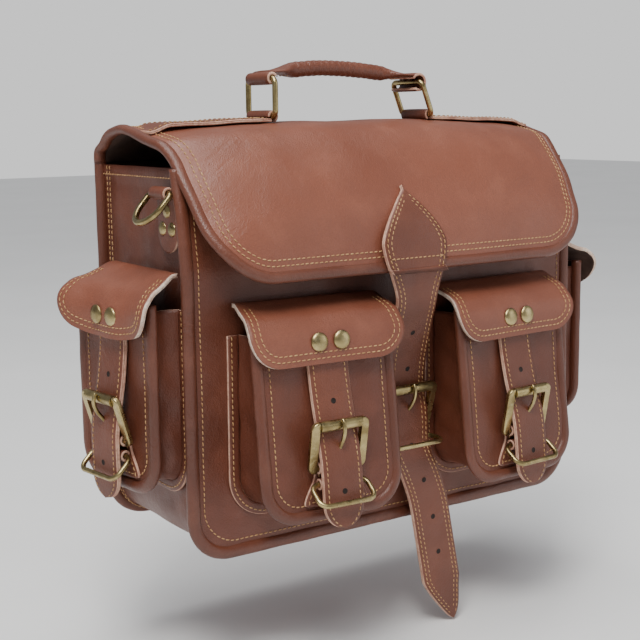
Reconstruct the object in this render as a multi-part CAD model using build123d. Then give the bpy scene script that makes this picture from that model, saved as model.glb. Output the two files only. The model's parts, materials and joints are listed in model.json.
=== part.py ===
from build123d import *
import os
from math import cos, hypot, radians, sin, tan

# Leather motorcycle saddlebag. Millimetres. +X is the bag's right seen from its front, -Y its front, +Z up.
# Heights below are measured from the bag's bottom edge; the origin is the centre of the four mounting
# eyelets on the back face, so every piece is lowered by MOUNT_HEIGHT when it is written.

# bag body
WIDTH = 352.0            # over the bindings
DEPTH = 130.0            # back face to the front panel's outer face
HEIGHT = 269.0           # bottom edge to the gusset's top edge
LEATHER = 2.5            # one layer
CORNER_R = 32.0          # rounded bottom corners of the front and back panels
GUSSET_INSET = 6.0       # the gusset is sewn this far inside the panels' outer edge
BINDING_WIDTH = 8.0
BINDING_PROUD = 2.0      # the rolled binding stands out from the leather by this much
LEAN_START = 200.0       # above this height the front panel leans back
LEAN = 7.5               # by this much at its top
BOARD = 3.0              # stiffener thickness

# mounting eyelets in the back panel
MOUNT_HEIGHT = 150.0
MOUNT_SPACING_X = 200.0
MOUNT_SPACING_Z = 120.0
EYELET_HOLE_R = 4.5
EYELET_WALL = 0.8
EYELET_FLANGE_R = 8.5
EYELET_FLANGE = 0.8

# main flap
FLAP_THICK = 4.0
FLAP_CORNER_R = 42.0
FLAP_BINDING = 8.0
HUMP = 27.5              # rise of the flap's outer face above the gusset's top edge
FLAP_DROP = 77.0         # from the gusset's top edge down to the flap's lower edge
FLAP_OUT = 34.0          # the flap's lower edge stands this far in front of the front panel

# straps, buckles and keepers
STRAP_W = 31.0
STRAP_T = 4.0
CENTRE_STRAP_W = 35.0
CENTRE_X = 3.0           # the centre strap sits a little off the bag's middle line
TAIL_LEAN = 10.0         # degrees, the centre strap's free tail hangs towards +X
TAIL_BELOW = 84.0        # the tail's tip below the bag's bottom edge
LEAF_W = 54.0
ARM_W = 6.0
ARM_T = 4.0
SIDE_GAP = 1.0           # strap edge to buckle arm
BAR_R = 2.0              # heel bar
TOP_BAR_R = 2.0
ROLLER_WALL = 1.7
RUN_FIT = 0.08           # radial clearance of a metal sleeve on its bar
LOOP_FIT = 0.35          # radial clearance of a leather loop on a bar
LOOP_WALL = 2.0
BUCKLE_LEN = 30.0        # heel bar to roller
BUCKLE_TILT = 17.0       # degrees, the roller end stands outwards over the strap
HEEL_OUT = 5.2           # heel bar's centre in front of the leather
PRONG_R = 1.4
HUB_WALL = 1.2
HUB_W = 5.0
KEEPER_WIRE_R = 1.8
KEEPER_SIDE = 6.2        # strap edge to the keeper wire's centre
KEEPER_DROP = 11.0       # heel bar to the keeper's pivot bar
KEEPER_LEN = 19.0
HOLE_R = 2.2
HOLE_PITCH = 29.0

# pockets, the same module on the front and on the sides
POCKET_H = 133.0
POCKET_R = 27.0
POCKET_WALL = 2.0
FLANGE = 7.0
HEEL_UP = 37.0           # heel bar above the pocket's bottom edge
FLAP_EDGE_UP = 107.0     # pocket flap's lower edge
RIVET_UP = 122.0
FOLD_UP = 150.0          # pocket flap's root
POCKET_FLAP_T = 3.5
RIVET_R = 6.5
RIVET_PITCH = 17.5
FRONT_W = 112.0
FRONT_X = 86.0           # pocket centre from the middle line
FRONT_Z = 30.0
FRONT_OUT = 45.0         # face in front of the panel at its bottom edge
FRONT_TILT = 6.8         # degrees, the pocket is shallower at its mouth
FRONT_TURN = 3.5         # degrees, the pocket is shallower at its outer side
SIDE_W = 92.0
SIDE_Y = -76.0           # left side pocket centre, from the back face
RIGHT_SIDE_Y = -72.5   # its centre, a little further forwards than the left one
SIDE_Z = 48.0
SIDE_OUT = 29.0
SIDE_TURN = 8.0          # degrees, the left side pocket is deeper towards the back
RIGHT_SIDE_TURN = -6.0   # degrees, the right side pocket is deeper towards the front

# handle
RING_X = 72.0            # the ring's pivot bar from the middle line
RING_Y = -65.0
RING_W = 41.0            # outside, along Y
RING_H = 27.0            # bar centre to bar centre
RING_WIRE_R = 2.1
RING_LEAN = 22.0         # degrees, the right ring leans inwards at rest
RING_CORNER_R = 4.5
TOP_STRAP_W = 34.0
TOP_STRAP_T = 3.0
GRIP_R = 5.5
GRIP_RISE = 6.0
GRIP_END_W = 25.0
OPEN_PIVOT_FIT = 2.9     # the grip's right loop is loose on its ring

# side D-rings
DRING_Z = 252.0
DRING_Y = -105.0
DRING_W = 34.0
DRING_LEN = 25.0
DRING_WIRE_R = 2.1
DRING_OUT = 6.0          # bar's centre outside the gusset
DRING_SWING = 42.0       # degrees outwards from hanging, at rest
TAB_W = 28.0
TAB_LEN = 42.0


def save(name, *solids):
    """Write one node: its solids, lowered so that the origin is at the mounting pattern's centre."""
    shape = solids[0] if len(solids) == 1 else Compound(children=list(solids))
    export_step(Pos(0, 0, -MOUNT_HEIGHT) * shape, f"parts/{name}.step")


def along_x(profile, x0, x1):
    """Extrude a (Y, Z) profile from x0 to x1."""
    return extrude(Plane.YZ.offset(x0) * profile, x1 - x0, dir=(1, 0, 0))


def along_y(profile, y0, y1):
    """Extrude an (X, Z) profile from y0 forwards to y1."""
    return extrude(Plane.XZ.offset(-y0) * profile, y0 - y1, dir=(0, -1, 0))


def band(points, thick):
    """A smooth strip of even thickness whose outer side passes through the points; inner side is right of travel."""
    inner = []
    for i, (a, b) in enumerate(points):
        p, q = points[max(i - 1, 0)], points[min(i + 1, len(points) - 1)]
        length = hypot(q[0] - p[0], q[1] - p[1])
        inner.append((a + thick * (q[1] - p[1]) / length, b - thick * (q[0] - p[0]) / length))
    edges = [Spline(*points), Line(points[-1], inner[-1]), Spline(*inner[::-1]), Line(inner[0], points[0])]
    return make_face(Wire(edges))


def pouch(width, height, radius, bottom=0.0):
    """Rectangle with square top corners and rounded bottom ones, its bottom edge at the given height."""
    shape = Pos(0, bottom + height / 2) * Rectangle(width, height)
    return fillet(shape.vertices().sort_by(Axis.Y)[:2], radius)


def dome(radius):
    """The domed head of a rivet, standing on its base."""
    return scale(Sphere(radius, arc_size1=0, align=(Align.CENTER, Align.CENTER, Align.MIN)), by=(1, 1, 0.4))


def wire_loop(points, radius, wire_r, plane):
    """A closed ring of round wire through the corner points, with rounded corners, in the plane."""
    path = FilletPolyline(*points, radius=radius, close=True)
    path = plane * path
    start = path @ 0
    return sweep(Plane(origin=start, z_dir=path % 0) * Circle(wire_r), path=path.wire())


# ---------------------------------------------------------------- bag body
def front_profile(outer, inner, top=HEIGHT):
    """(Y, Z) section of the front panel between two distances in front of its outer face."""
    kink, lean = LEAN_START, LEAN * (top - LEAN_START) / (HEIGHT - LEAN_START)
    y = -DEPTH
    return Polygon((y - outer, -5), (y - outer, kink), (y - outer + lean, top), (y - inner + lean, top),
                   (y - inner, kink), (y - inner, -5), align=None)


def body():
    half, inset = WIDTH / 2, GUSSET_INSET
    outline = pouch(WIDTH, HEIGHT, CORNER_R)
    inside = pouch(WIDTH - 2 * BINDING_WIDTH, HEIGHT - BINDING_WIDTH, CORNER_R - BINDING_WIDTH, BINDING_WIDTH)
    panel = along_x(front_profile(0, -LEATHER), -half, half) & along_y(inside, 0, -2 * DEPTH)
    save("front_panel", panel)

    outer_u = pouch(WIDTH - 2 * inset, HEIGHT, CORNER_R - inset, inset)
    inner_u = pouch(WIDTH - 2 * inset - 2 * LEATHER, HEIGHT, CORNER_R - inset - LEATHER, inset + LEATHER)
    between = Polygon((-LEATHER, -5), (-LEATHER, HEIGHT), (-DEPTH + LEATHER + LEAN, HEIGHT),
                      (-DEPTH + LEATHER, LEAN_START), (-DEPTH + LEATHER, -5), align=None)
    save("gusset", along_y(outer_u - inner_u, 0, -DEPTH) & along_x(between, -half, half))

    save("back_panel", without_eyelets(along_y(inside, 0, -LEATHER), EYELET_HOLE_R + EYELET_WALL))

    # each binding is a rolled band round its panel's edge, clear of the gusset
    ring = outline - inside
    rolled = LEATHER + 2 * BINDING_PROUD
    front = along_x(front_profile(BINDING_PROUD, -LEATHER), -half, half) & along_y(ring, 0, -2 * DEPTH)
    rear = along_y(ring, 0, -rolled + BINDING_PROUD)
    rear -= along_y(outer_u, -LEATHER, -DEPTH)
    save("panel_bindings", front, rear)

    # stiffeners: one on the gusset's floor, one behind the back panel
    floor = inset + LEATHER
    reach = WIDTH - 2 * inset - 2 * LEATHER - 2 * CORNER_R
    board_front, board_back = -DEPTH + LEATHER + 1, -LEATHER - BOARD - 1
    board = Pos(0, (board_front + board_back) / 2, floor + BOARD / 2) * Box(reach, board_back - board_front, BOARD)
    save("base_board", board)
    tall = MOUNT_SPACING_Z + 70
    plate = Pos(0, -LEATHER - BOARD / 2, MOUNT_HEIGHT) * Box(MOUNT_SPACING_X + 80, BOARD, tall)
    save("back_board", without_eyelets(plate, EYELET_HOLE_R + EYELET_WALL))


def eyelet_places():
    return [(sx * MOUNT_SPACING_X / 2, MOUNT_HEIGHT + sz * MOUNT_SPACING_Z / 2) for sx in (-1, 1) for sz in (-1, 1)]


def without_eyelets(plate, radius):
    for x, z in eyelet_places():
        plate -= along_y(Pos(x, z) * Circle(radius), 5, -LEATHER - BOARD - 5)
    return plate


def eyelets():
    """Brass eyelets through the back panel and its board, with a flange on each side."""
    made, grip = [], LEATHER + BOARD
    for x, z in eyelet_places():
        barrel = along_y(Pos(x, z) * Circle(EYELET_HOLE_R + EYELET_WALL), EYELET_FLANGE, -grip - EYELET_FLANGE)
        for y in (EYELET_FLANGE, -grip):
            barrel += along_y(Pos(x, z) * Circle(EYELET_FLANGE_R), y, y - EYELET_FLANGE)
        made.append(barrel - along_y(Pos(x, z) * Circle(EYELET_HOLE_R), 5, -grip - 5))
    save("mount_eyelets", *made)


# ---------------------------------------------------------------- buckles on a leather surface
def buckle_set(name, frame, strap_w, heel_up, keeper_tilt):
    """Frame, roller, prong and keeper on a surface frame (x across, y up, z out), heel bar at heel_up."""
    inner = strap_w / 2 + SIDE_GAP
    outer = inner + ARM_W
    heel = frame.from_local_coords(Vector(0, heel_up, HEEL_OUT))
    tilt = Plane(heel, x_dir=frame.x_dir, z_dir=frame.z_dir.rotate(Axis((0, 0, 0), frame.x_dir), BUCKLE_TILT))
    end = ARM_W / 2 + 0.5
    shape = Pos(0, BUCKLE_LEN / 2) * RectangleRounded(2 * outer, BUCKLE_LEN + 2 * end, ARM_W - 1)
    plate = extrude(shape, ARM_T / 2, both=True)
    rims = plate.edges().group_by(Axis.Z)
    arms = fillet(rims[0] + rims[-1], 1.2) - Box(2 * inner, 4 * BUCKLE_LEN, 2 * ARM_T)
    bars = Rot(0, 90, 0) * Cylinder(BAR_R, 2 * outer - ARM_W)
    bars += Pos(0, BUCKLE_LEN, 0) * Rot(0, 90, 0) * Cylinder(TOP_BAR_R, 2 * outer - ARM_W)
    save(f"{name}_buckle_frame", tilt.location * (arms + bars))

    roller_r = TOP_BAR_R + RUN_FIT + ROLLER_WALL
    roller = Cylinder(roller_r, 2 * inner - 1.0) - Cylinder(TOP_BAR_R + RUN_FIT, 4 * inner)
    save(f"{name}_buckle_roller", tilt.location * Pos(0, BUCKLE_LEN, 0) * Rot(0, 90, 0) * roller)

    # the prong starts at its hub on the heel bar and hooks over the roller
    over = roller_r + PRONG_R + 0.3
    route = Spline((0, BAR_R + 0.6, 1.2), (0, BUCKLE_LEN * 0.45, 2.2), (0, BUCKLE_LEN * 0.78, over + 0.5),
                   (0, BUCKLE_LEN + 1.0, over + 0.2), (0, BUCKLE_LEN + 4.6, over - 2.6))
    shank = sweep(Plane(origin=route @ 0, z_dir=route % 0) * Circle(PRONG_R), path=route)
    hub = Rot(0, 90, 0) * Cylinder(BAR_R + RUN_FIT + HUB_WALL, HUB_W)
    prong = hub + shank - Rot(0, 90, 0) * Cylinder(BAR_R + RUN_FIT, 2 * HUB_W)
    save(f"{name}_buckle_prong", tilt.location * prong)

    pivot = frame.from_local_coords(Vector(0, heel_up - KEEPER_DROP, HEEL_OUT))
    swing = radians(keeper_tilt)
    ring_plane = Plane(pivot, x_dir=frame.x_dir, z_dir=frame.z_dir * cos(swing) + frame.y_dir * sin(swing))
    half = strap_w / 2 + KEEPER_SIDE
    corners = [(-half, 0), (half, 0), (half, -KEEPER_LEN), (-half, -KEEPER_LEN)]
    save(f"{name}_keeper", wire_loop(corners, 6.5, KEEPER_WIRE_R, ring_plane))


def chape(frame, strap_w, heel_up, foot_up, foot_w):
    """Leather tab sewn to the surface, with loops round the heel bar and round the keeper's bar."""
    half, top = strap_w / 2, heel_up
    sheet = Polygon((-foot_w / 2, foot_up), (foot_w / 2, foot_up), (half, top), (-half, top), align=None)
    tab = extrude(sheet, LOOP_WALL)
    pivots = [(heel_up, BAR_R), (heel_up - KEEPER_DROP, KEEPER_WIRE_R)]
    for up, bar_r in pivots:
        tab += Pos(0, up, HEEL_OUT) * Rot(0, 90, 0) * Cylinder(bar_r + LOOP_FIT + LOOP_WALL, strap_w)
    for up, bar_r in pivots:
        tab -= Pos(0, up, HEEL_OUT) * Rot(0, 90, 0) * Cylinder(bar_r + LOOP_FIT, 3 * strap_w)
    slot = HUB_W + 2.0
    tab -= Pos(0, heel_up + 4, HEEL_OUT + 1.4) * Box(slot, 16, 11)
    return frame.location * tab


# ---------------------------------------------------------------- pockets
def pocket_frames():
    """Name, surface the pocket is sewn to, plane of its face, and width for each of the four pockets."""
    frames = []
    side_face = WIDTH / 2 - GUSSET_INSET
    for side, s in (("left", -1), ("right", 1)):
        turn, tilt = radians(FRONT_TURN), radians(FRONT_TILT)
        normal = Vector(s * sin(turn) * cos(tilt), -cos(turn) * cos(tilt), sin(tilt))
        panel = Plane((s * FRONT_X, -DEPTH, FRONT_Z), x_dir=(1, 0, 0), z_dir=(0, -1, 0))
        face = Plane((s * FRONT_X, -DEPTH - FRONT_OUT, FRONT_Z), x_dir=(cos(turn), s * sin(turn), 0), z_dir=normal)
        frames.append((f"{side}_front", panel, face, FRONT_W))
    for side, s in (("left", -1), ("right", 1)):
        turn = radians(SIDE_TURN if s < 0 else RIGHT_SIDE_TURN)
        y = SIDE_Y if s < 0 else RIGHT_SIDE_Y
        panel = Plane((s * side_face, y, SIDE_Z), x_dir=(0, s, 0), z_dir=(s, 0, 0))
        x_dir = Vector(sin(turn), s * cos(turn), 0)
        face = Plane((s * (side_face + SIDE_OUT), y, SIDE_Z), x_dir=x_dir, z_dir=(s * cos(turn), -sin(turn), 0))
        frames.append((f"{side}_side", panel, face, SIDE_W))
    return frames


def mouth_depth(panel, face, up):
    """Distance from the face's plane back to the sewn surface, at a height up the face."""
    point = face.from_local_coords(Vector(0, up, 0))
    return panel.to_local_coords(point).Z / face.z_dir.dot(panel.z_dir)


def pocket(name, panel, face, width):
    inset = 5.0
    big = 600.0
    wall_w = width - 2 * inset
    # gusset walls stand on the bag and stop at the back of the face; a sewing flange runs round their foot
    outer = pouch(wall_w, POCKET_H - inset, POCKET_R - inset, inset)
    inner = pouch(wall_w - 2 * POCKET_WALL, POCKET_H, POCKET_R - inset - POCKET_WALL, inset + POCKET_WALL)
    flange = pouch(wall_w + 2 * FLANGE, POCKET_H - inset + FLANGE, POCKET_R, inset - FLANGE)
    walls = panel.location * (extrude(outer - inner, 120) + extrude(flange - inner, POCKET_WALL))
    walls -= face.location * Pos(0, 0, big / 2 - LEATHER) * Box(big, big, big)
    save(f"{name}_pocket_gusset", walls)
    # face panel, with a rolled binding outside the gusset walls
    plate = extrude(pouch(width, POCKET_H, POCKET_R), -LEATHER)
    rim = pouch(width, POCKET_H, POCKET_R) - pouch(wall_w + 2.4, POCKET_H, POCKET_R - inset, inset - 1.2)
    plate += extrude(rim, 1.5) + extrude(rim, -4.5)
    save(f"{name}_pocket_face", face.location * plate)

    # flap: from its root on the bag, over the mouth, down in front of the face
    depth = mouth_depth(panel, face, FOLD_UP)
    lift = STRAP_T + 1.5 + POCKET_FLAP_T
    outer_line = [(FOLD_UP, -depth + 0.6), (FOLD_UP + 1.5, -depth + 9), (FOLD_UP - 1.5, -depth * 0.45),
                  (FOLD_UP - 9, 0.5), (POCKET_H, 6.2), (RIVET_UP + 3, lift - 0.4), (FLAP_EDGE_UP + 7, lift),
                  (FLAP_EDGE_UP, lift)]
    sheet = band([(-up, out) for up, out in outer_line], POCKET_FLAP_T)
    sheet = extrude(Plane(origin=(-width, 0, 0), x_dir=(0, -1, 0), z_dir=(-1, 0, 0)) * sheet, 2 * width,
                    dir=(1, 0, 0))
    shape = pouch(width + 8, POCKET_H, 30, FLAP_EDGE_UP)
    flap = face.location * (sheet & extrude(shape, 120, both=True))
    flap -= panel.location * Pos(0, 0, 0.4 - big / 2) * Box(big, big, big)
    rivet_x = [-RIVET_PITCH / 2, RIVET_PITCH / 2]
    shank_r = 1.8
    for x in rivet_x:
        flap -= face.location * Pos(x, RIVET_UP, 0) * Cylinder(shank_r, 60)
    save(f"{name}_pocket_flap", flap)

    # strap: riveted under the flap, behind the roller, over the heel bar and through the keeper
    over_heel = HEEL_OUT + BAR_R + LOOP_FIT + LOOP_WALL + 0.3 + STRAP_T
    roller_up = HEEL_UP + BUCKLE_LEN * cos(radians(BUCKLE_TILT))
    roller_r = TOP_BAR_R + RUN_FIT + ROLLER_WALL
    under_roller = HEEL_OUT + BUCKLE_LEN * sin(radians(BUCKLE_TILT)) - roller_r - 0.4
    under_flap = lift - POCKET_FLAP_T - 0.7
    strap_top = RIVET_UP + 4
    line = [(strap_top, under_flap - 0.4), (RIVET_UP - 6, under_flap), (FLAP_EDGE_UP - 6, under_flap + 0.1),
            (roller_up + 14, (under_flap + under_roller) / 2 - 0.6), (roller_up, under_roller),
            (HEEL_UP + 12, (under_roller + over_heel) / 2 + 1.0), (HEEL_UP, over_heel + 0.1),
            (HEEL_UP - 20, over_heel), (-5, over_heel - 0.4)]
    side = band([(-up, out) for up, out in line], STRAP_T)
    side = extrude(Plane(origin=(-STRAP_W, 0, 0), x_dir=(0, -1, 0), z_dir=(-1, 0, 0)) * side, 2 * STRAP_W,
                   dir=(1, 0, 0))
    outline = pouch(STRAP_W, strap_top + 5, STRAP_W / 2 - 0.5, -5)
    outline -= [Pos(0, HEEL_UP + 12 + k * HOLE_PITCH) * Circle(HOLE_R) for k in (-1, 1)]
    outline -= Pos(0, HEEL_UP + BUCKLE_LEN * 0.5) * RectangleRounded(5.2, BUCKLE_LEN * 0.8, 2.5)
    outline -= [Pos(x, RIVET_UP) * Circle(shank_r) for x in rivet_x]
    save(f"{name}_pocket_strap", face.location * (side & extrude(outline, 80, both=True)))

    # two domed rivets hold the strap to the flap
    rivets = []
    for x in rivet_x:
        head = Pos(0, 0, lift + 0.3) * dome(RIVET_R)
        shank = Pos(0, 0, lift / 2 + 0.5) * Cylinder(shank_r - 0.1, lift - 0.4)
        rivets.append(face.location * Pos(x, RIVET_UP, 0) * (head + shank))
    save(f"{name}_pocket_rivets", *rivets)

    buckle_set(f"{name}_pocket", face, STRAP_W, HEEL_UP, 48)
    return chape(face, STRAP_W, HEEL_UP, 11, 50)


# ---------------------------------------------------------------- main flap
def flap_line():
    """The flap's outer side from the back edge over the hump and down the front, as (Y, Z)."""
    top, low, front = HEIGHT + HUMP, HEIGHT - FLAP_DROP, -DEPTH - FLAP_OUT
    drop = top - low
    return [(-1.0, HEIGHT + 1), (-3.0, HEIGHT + 12), (-11.0, top - 6), (-28.0, top - 1), (-55.0, top),
            (-82.0, top - 0.5), (-103.0, top - 4.5), (-120.0, top - 15), (-134.0, top - 29),
            (-146.0, top - 46), (front + 8.5, top - 0.63 * drop), (front + 2.5, top - 0.82 * drop), (front, low)]


def main_flap():
    line = flap_line()
    low = line[-1][1]
    half = WIDTH / 2 + 1
    span = HEIGHT + HUMP - low + 20
    whole = pouch(2 * half, span, FLAP_CORNER_R, low - 2)
    core = pouch(2 * half - 2 * FLAP_BINDING, span, FLAP_CORNER_R - FLAP_BINDING, low - 2 + FLAP_BINDING)
    sheet = along_x(mirror_band(line, FLAP_THICK), -half, half)
    save("main_flap", sheet & along_y(core, 60, -3 * DEPTH))
    proud = 1.2
    fat = [(y - proud * 0.6, z + proud * 0.6) for y, z in line]
    rolled = along_x(mirror_band(fat, FLAP_THICK + proud), -half, half)
    rim = rolled & along_y(whole - core, 60, -3 * DEPTH)
    save("main_flap_binding", rim)


def mirror_band(line, thick):
    """Strip with its outer side on a line that runs towards -Y."""
    return mirror(band([(-y, z) for y, z in line], thick), about=Plane.YZ)


def top_straps():
    """Straps along the top of the hump, each folded round a ring's lower bar."""
    base = HEIGHT + HUMP + 0.2
    bar_z = ring_bar_z()
    made = []
    for s in (-1, 1):
        x_in, x_out = s * (RING_X + 5), s * (WIDTH / 2 - FLAP_BINDING - 1)
        strap = Pos((x_in + x_out) / 2, RING_Y, base + TOP_STRAP_T / 2) * Box(
            abs(x_out - x_in), TOP_STRAP_W, TOP_STRAP_T)
        strap += Pos(s * (RING_X + 3), RING_Y, base + TOP_STRAP_T / 2) * Box(
            6, RING_W - 2 * RING_WIRE_R - 2 * RING_CORNER_R - 1, TOP_STRAP_T)
        strap += Pos(s * RING_X, RING_Y, bar_z) * Rot(90, 0, 0) * Cylinder(
            RING_WIRE_R + LOOP_FIT + LOOP_WALL, RING_W - 2 * RING_WIRE_R - 2 * RING_CORNER_R - 1)
        strap -= Pos(s * RING_X, RING_Y, bar_z) * Rot(90, 0, 0) * Cylinder(RING_WIRE_R + LOOP_FIT, 2 * RING_W)
        made.append(strap)
    save("handle_straps", *made)


def ring_bar_z():
    return HEIGHT + HUMP + 0.2 + LOOP_WALL + LOOP_FIT + RING_WIRE_R


def handle():
    z = ring_bar_z()
    half = RING_W / 2 - RING_WIRE_R
    corners = [(-half, 0), (half, 0), (half, RING_H), (-half, RING_H)]
    tops = []
    for name, s, lean in (("left", -1, 0.0), ("right", 1, RING_LEAN)):
        up = Vector(-s * sin(radians(lean)), 0, cos(radians(lean)))
        base = Vector(s * RING_X, RING_Y, z)
        plane = Plane(base, x_dir=(0, 1, 0), z_dir=Vector(0, 1, 0).cross(up))
        save(f"{name}_handle_ring", wire_loop(corners, RING_CORNER_R, RING_WIRE_R, plane))
        tops.append(base + up * RING_H)
    a, b = tops
    fits = (LOOP_FIT, OPEN_PIVOT_FIT)
    route = Spline((a.X + 9, a.Z + 2.5), (a.X * 0.35 + b.X * 0.65 - 28, max(a.Z, b.Z) + GRIP_RISE - 1),
                   (b.X - 12, b.Z + 4.0))
    path = Plane(origin=(0, RING_Y, 0), x_dir=(1, 0, 0), z_dir=(0, -1, 0)) * route
    grip = sweep(Plane(origin=path @ 0, z_dir=path % 0) * Circle(GRIP_R), path=path)
    for top, fit, s in ((a, fits[0], 1), (b, fits[1], -1)):
        loop_r = RING_WIRE_R + fit + LOOP_WALL
        grip += Pos(top.X, RING_Y, top.Z) * Rot(90, 0, 0) * Cylinder(loop_r, GRIP_END_W)
        grip += Pos(top.X + s * 9, RING_Y, top.Z + 2.0) * Box(14, GRIP_END_W * 0.6, 6)
    for top, fit in zip((a, b), fits):
        grip -= Pos(top.X, RING_Y, top.Z) * Rot(90, 0, 0) * Cylinder(RING_WIRE_R + fit, 2 * RING_W)
    save("handle_grip", grip)


# ---------------------------------------------------------------- centre strap and main buckle
CENTRE_HEEL = 74.0
LEAF_TOP = 251.0
LEAF_WIDEST = 214.0


def centre_strap():
    half = CENTRE_STRAP_W / 2
    neck = LEAF_WIDEST - 38
    lean = tan(radians(TAIL_LEAN))
    bend = CENTRE_HEEL - 6
    end = -TAIL_BELOW
    shoulder = end + 42
    leaf = make_face(Wire([
        Spline((0, LEAF_TOP), (LEAF_W * 0.32, LEAF_WIDEST + 16), (LEAF_W / 2, LEAF_WIDEST - 6), (half, neck)),
        Line((half, neck), (-half, neck)),
        Spline((-half, neck), (-LEAF_W / 2, LEAF_WIDEST - 6), (-LEAF_W * 0.32, LEAF_WIDEST + 16), (0, LEAF_TOP))]))
    shift, tip = (bend - shoulder) * lean, (bend - end) * lean
    band_shape = Polygon((-half, neck + 1), (-half, bend), (-half + shift, shoulder), (tip + 3, end),
                         (half + shift, shoulder), (half, bend), (half, neck + 1), align=None)
    shape = leaf + band_shape
    for k in range(5):
        up = CENTRE_HEEL + 15 + (k - 1) * HOLE_PITCH
        shape -= Pos(max(bend - up, 0) * lean, up) * Circle(HOLE_R)
    shape -= Pos(0, CENTRE_HEEL + BUCKLE_LEN * 0.5) * RectangleRounded(5.2, BUCKLE_LEN * 0.8, 2.5)
    outline = along_y(Pos(CENTRE_X, 0) * shape, 0, -3 * DEPTH)

    over_heel = HEEL_OUT + BAR_R + LOOP_FIT + LOOP_WALL + 0.4 + STRAP_T
    roller_z = CENTRE_HEEL + BUCKLE_LEN * cos(radians(BUCKLE_TILT))
    roller_r = TOP_BAR_R + RUN_FIT + ROLLER_WALL
    under_roller = HEEL_OUT + BUCKLE_LEN * sin(radians(BUCKLE_TILT)) - roller_r - 0.4
    gap = STRAP_T + 1.9
    on_flap = [(y - gap * 0.9, z + gap * 0.3) for y, z in flap_line()[-4:]]
    rest = [(-DEPTH - 30, HEIGHT - FLAP_DROP - 32), (-DEPTH - 18, roller_z + 26), (-DEPTH - under_roller, roller_z),
            (-DEPTH - (under_roller + over_heel) / 2 - 1, CENTRE_HEEL + 12), (-DEPTH - over_heel, CENTRE_HEEL),
            (-DEPTH - over_heel, CENTRE_HEEL - 25), (-DEPTH - over_heel - 1, 0), (-DEPTH - over_heel - 3, end)]
    first = [(on_flap[0][0] + 5, LEAF_TOP + 6)]
    sheet = along_x(mirror_band(first + on_flap[1:] + rest, STRAP_T), -WIDTH / 2, WIDTH / 2)
    save("centre_strap", sheet & outline)


# ---------------------------------------------------------------- side D-rings
def d_rings(rivets):
    tabs = []
    for name, s in (("left", -1), ("right", 1)):
        wall = s * (WIDTH / 2 - GUSSET_INSET)
        bar = Vector(wall + s * DRING_OUT, DRING_Y, DRING_Z)
        swing = radians(DRING_SWING)
        down = Vector(s * sin(swing), 0, -cos(swing))
        plane = Plane(bar, x_dir=(0, 1, 0), z_dir=Vector(0, 1, 0).cross(down))
        half = DRING_W / 2 - DRING_WIRE_R
        straight = DRING_LEN - half
        path = Polyline((half * 0.999, straight), (half, 0), (-half, 0), (-half * 0.999, straight))
        arc = ThreePointArc((-half * 0.999, straight), (0, DRING_LEN), (half * 0.999, straight))
        wire = fillet(make_face(Wire([*path.edges(), arc])).vertices().sort_by(Axis.Y)[:2], 4.0)
        outer = offset(wire, DRING_WIRE_R)
        core = offset(wire, -DRING_WIRE_R)
        ring = extrude(outer - core, DRING_WIRE_R * 0.92, both=True)
        ring = fillet(ring.edges().group_by(Axis.Z)[-1] + ring.edges().group_by(Axis.Z)[0], 1.6)
        save(f"{name}_d_ring", plane.location * ring)

        frame = Plane((wall, DRING_Y, DRING_Z), x_dir=(0, s, 0), z_dir=(s, 0, 0))
        sheet = Pos(0, -TAB_LEN / 2 + 3) * RectangleRounded(TAB_W, TAB_LEN + 6, TAB_W / 2 - 0.5)
        tab = extrude(sheet, LOOP_WALL)
        loop_w = DRING_W - 4 * DRING_WIRE_R - 3
        loop = Pos(0, 0, DRING_OUT) * Rot(0, 90, 0) * Cylinder(DRING_WIRE_R + LOOP_FIT + LOOP_WALL, loop_w)
        loop += Pos(0, 0, DRING_OUT / 2) * Box(loop_w, 6, DRING_OUT)
        tab += loop
        tab -= Pos(0, 0, DRING_OUT) * Rot(0, 90, 0) * Cylinder(DRING_WIRE_R + LOOP_FIT, 3 * DRING_W)
        tabs.append(frame.location * tab)
        for x, up in ((-6.5, -24), (6.5, -24), (0, -12)):
            rivets.append(frame.location * Pos(x, up, LOOP_WALL) * dome(RIVET_R - 1.5))
    save("d_ring_tabs", *tabs)


# ---------------------------------------------------------------- build
os.makedirs("parts", exist_ok=True)
body()
eyelets()
chapes = [pocket(*entry) for entry in pocket_frames()]
front = Plane((CENTRE_X, -DEPTH, 0), x_dir=(1, 0, 0), z_dir=(0, -1, 0))
buckle_set("main", front, CENTRE_STRAP_W, CENTRE_HEEL, 88)
chapes.append(chape(front, CENTRE_STRAP_W, CENTRE_HEEL, 32, 44))
save("buckle_chapes", *chapes)
main_flap()
top_straps()
handle()
centre_strap()
rivets = [front.location * Pos(x, 42, LOOP_WALL) * dome(RIVET_R - 1) for x in (-12, 12)]
d_rings(rivets)
save("body_rivets", *rivets)
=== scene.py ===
import math

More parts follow.
